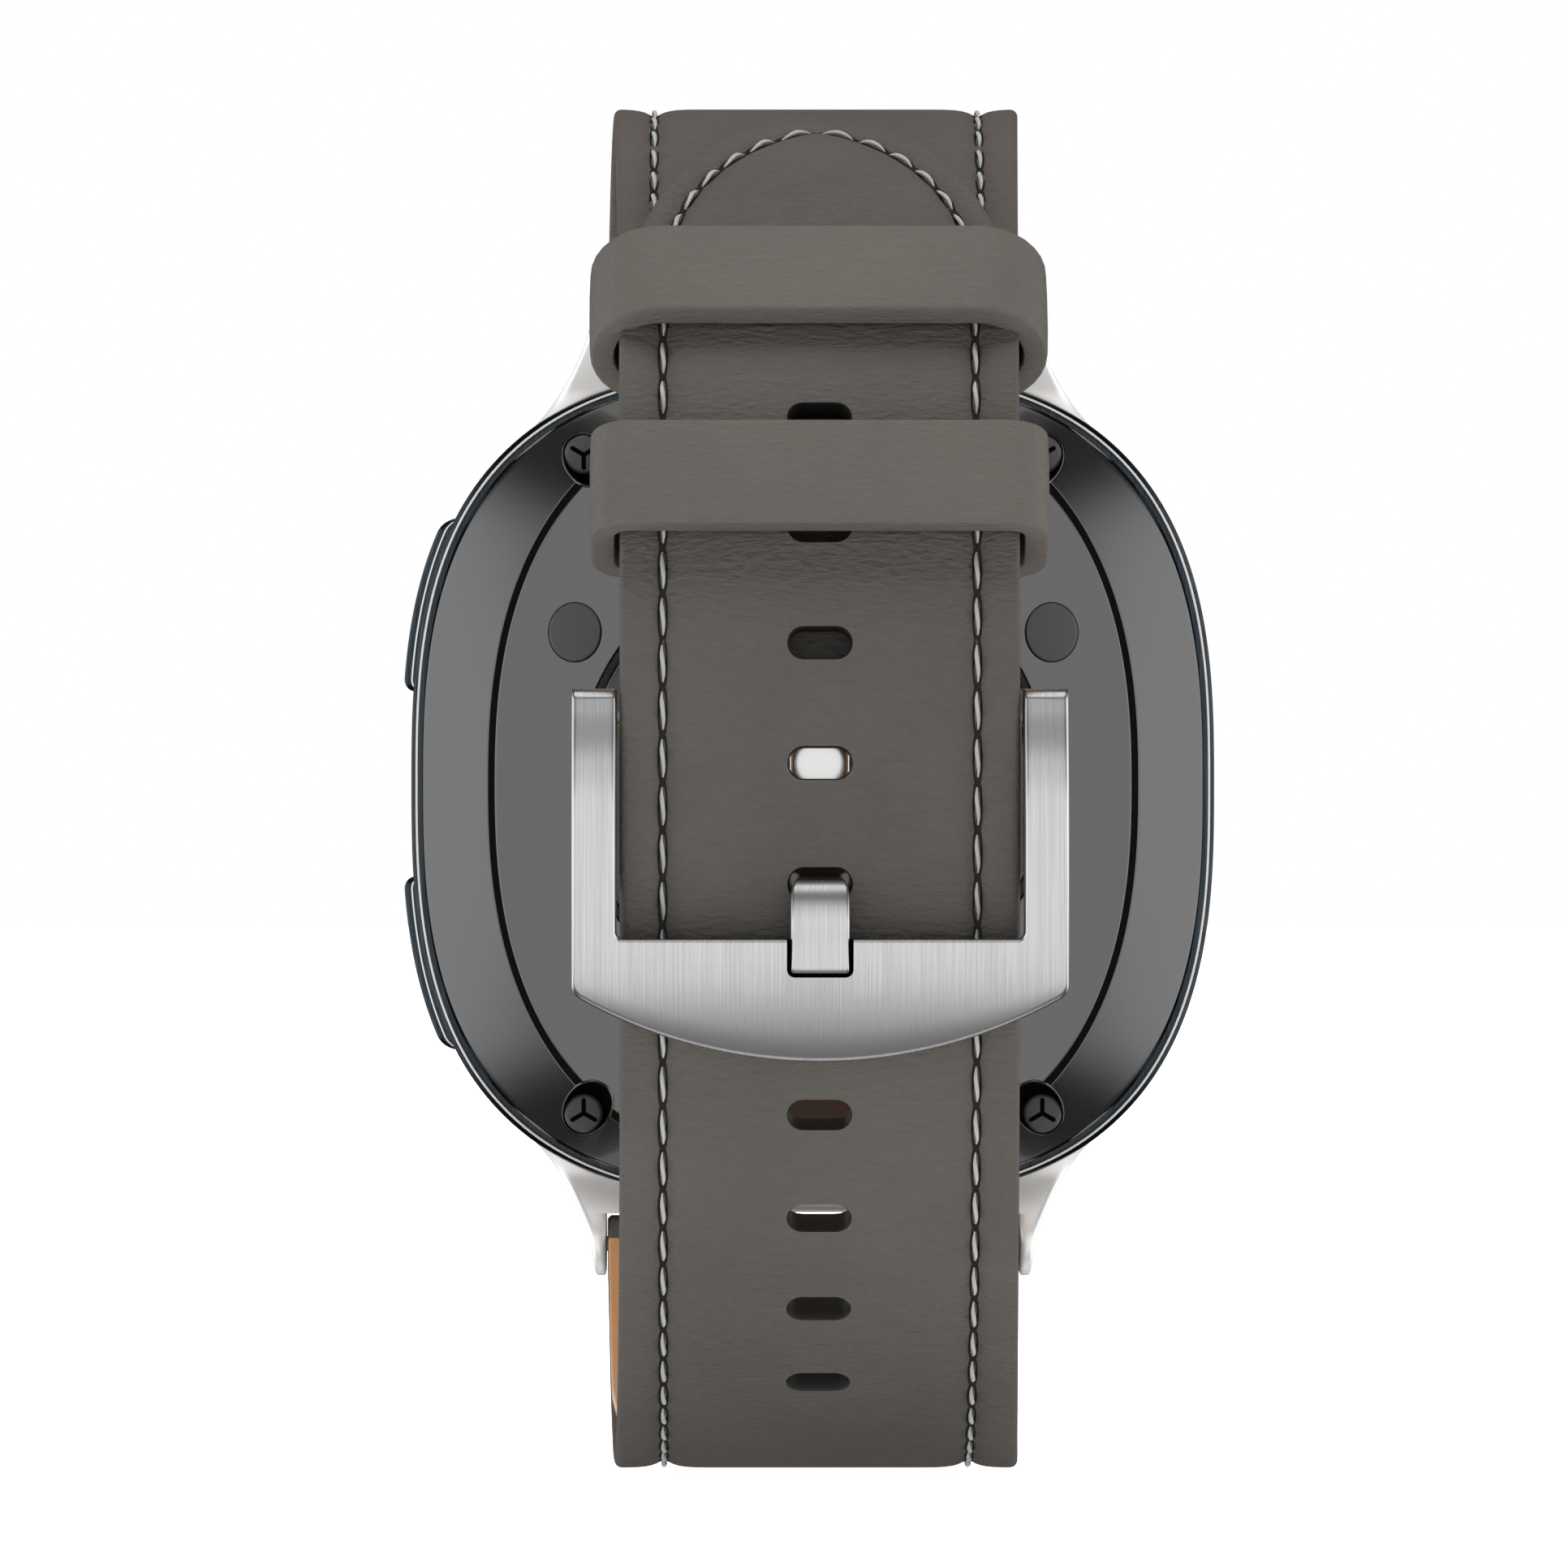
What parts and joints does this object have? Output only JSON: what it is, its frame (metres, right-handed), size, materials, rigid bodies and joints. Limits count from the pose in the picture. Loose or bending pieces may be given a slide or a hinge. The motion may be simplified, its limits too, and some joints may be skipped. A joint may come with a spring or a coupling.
{
  "type": "smartwatch",
  "caption": "Cushion-shaped smartwatch with side pushers, polished lugs and a rear sensor window, on a stitched leather strap closed in a loop by a curved tang buckle.",
  "frame": {"origin": "centre of the rear sensor window's flat outer face", "axes": "+X towards 3 o'clock, where the pushers are; +Y out of the case back, towards the wrist; +Z towards 12 o'clock; the display faces -Y"},
  "size_m": [0.043, 0.0621, 0.0699],
  "materials": {
    "dark_steel": "polished, dark coated",
    "polished_steel": "polished",
    "brushed_steel": "brushed lengthwise",
    "cover": "satin grey, sprayed",
    "window": "dark filter glass, polished",
    "display_glass": "black-backed glass, polished",
    "rubber": "matt",
    "leather": "fine grain, satin, grey-brown",
    "lining": "tan, matt",
    "circuit_board": "solder mask",
    "inner_plastic": "moulded",
    "inner_metal": "foil"
  },
  "bodies": {
    "watch": {"case_middle": "polished_steel", "rear_cover": "cover", "rear_seal": "rubber", "case_screw_upper_left": "dark_steel", "case_screw_upper_right": "dark_steel", "case_screw_lower_left": "dark_steel", "case_screw_lower_right": "dark_steel", "sensor_window": "window", "sensor_ring": "rubber", "electrode_left": "dark_steel", "electrode_right": "dark_steel", "sensor_baffle": "inner_plastic", "sensor_board": "circuit_board", "bezel": "dark_steel", "glass_gasket": "rubber", "front_glass": "display_glass", "display_module": "inner_plastic", "upper_pusher_o_ring": "rubber", "upper_tact_switch": "inner_plastic", "lower_pusher_o_ring": "rubber", "lower_tact_switch": "inner_plastic", "battery": "inner_metal", "inner_frame": "inner_plastic", "main_board": "circuit_board", "shield_can": "inner_metal", "processor": "inner_plastic", "sensor_flex": "inner_plastic", "display_flex": "inner_plastic", "switch_board": "circuit_board", "speaker": "inner_plastic", "microphone": "inner_metal", "vibration_can": "brushed_steel", "upper_bar_tube": "brushed_steel", "upper_bar_spring": "brushed_steel", "lower_bar_tube": "brushed_steel", "lower_bar_spring": "brushed_steel", "long_strap_leather": "leather", "long_strap_lining": "lining", "short_strap_leather": "leather", "short_strap_lining": "lining", "fixed_keeper": "leather", "buckle_pin": "brushed_steel"},
    "upper_pusher": {"upper_pusher_cap": "dark_steel", "upper_pusher_stem": "brushed_steel", "upper_pusher_clip": "brushed_steel"},
    "lower_pusher": {"lower_pusher_cap": "dark_steel", "lower_pusher_stem": "brushed_steel", "lower_pusher_clip": "brushed_steel"},
    "free_keeper": {"free_keeper": "leather"},
    "buckle": {"buckle_frame": "brushed_steel"},
    "tongue": {"buckle_tongue": "brushed_steel"},
    "upper_release": {"upper_bar_release": "brushed_steel"},
    "lower_release": {"lower_bar_release": "brushed_steel"},
    "vibration_weight": {"vibration_mass": "inner_metal"}
  },
  "joints": [
    {"name": "upper_pusher_press", "type": "slide", "parent": "watch", "child": "upper_pusher", "axis": [-1, 0, 0], "range_m": [0, 0.0005], "stiffness_N_per_m": 1500, "springref_m": -0.0005},
    {"name": "lower_pusher_press", "type": "slide", "parent": "watch", "child": "lower_pusher", "axis": [-1, 0, 0], "range_m": [0, 0.0005], "stiffness_N_per_m": 1500, "springref_m": -0.0005},
    {"name": "free_keeper_slide", "type": "hinge", "parent": "watch", "child": "free_keeper", "pos_m": [0, 0.01493, 0.00304], "axis": [1, 0, 0], "range_deg": [-8, 8]},
    {"name": "buckle_pivot", "type": "hinge", "parent": "watch", "child": "buckle", "pos_m": [0, 0.04473, 0.0033], "axis": [1, 0, 0], "range_deg": [0, 2]},
    {"name": "tongue_pivot", "type": "hinge", "parent": "buckle", "child": "tongue", "pos_m": [0, 0.04473, 0.0033], "axis": [1, 0, 0], "range_deg": [0, 2]},
    {"name": "upper_quick_release", "type": "slide", "parent": "watch", "child": "upper_release", "axis": [-1, 0, 0], "range_m": [0, 0.0012], "stiffness_N_per_m": 600, "springref_m": -0.001},
    {"name": "lower_quick_release", "type": "slide", "parent": "watch", "child": "lower_release", "axis": [-1, 0, 0], "range_m": [0, 0.0012], "stiffness_N_per_m": 600, "springref_m": -0.001},
    {"name": "vibration_shake", "type": "slide", "parent": "watch", "child": "vibration_weight", "axis": [0, 1, 0], "range_m": [-0.00025, 0.00025], "stiffness_N_per_m": 300}
  ]
}
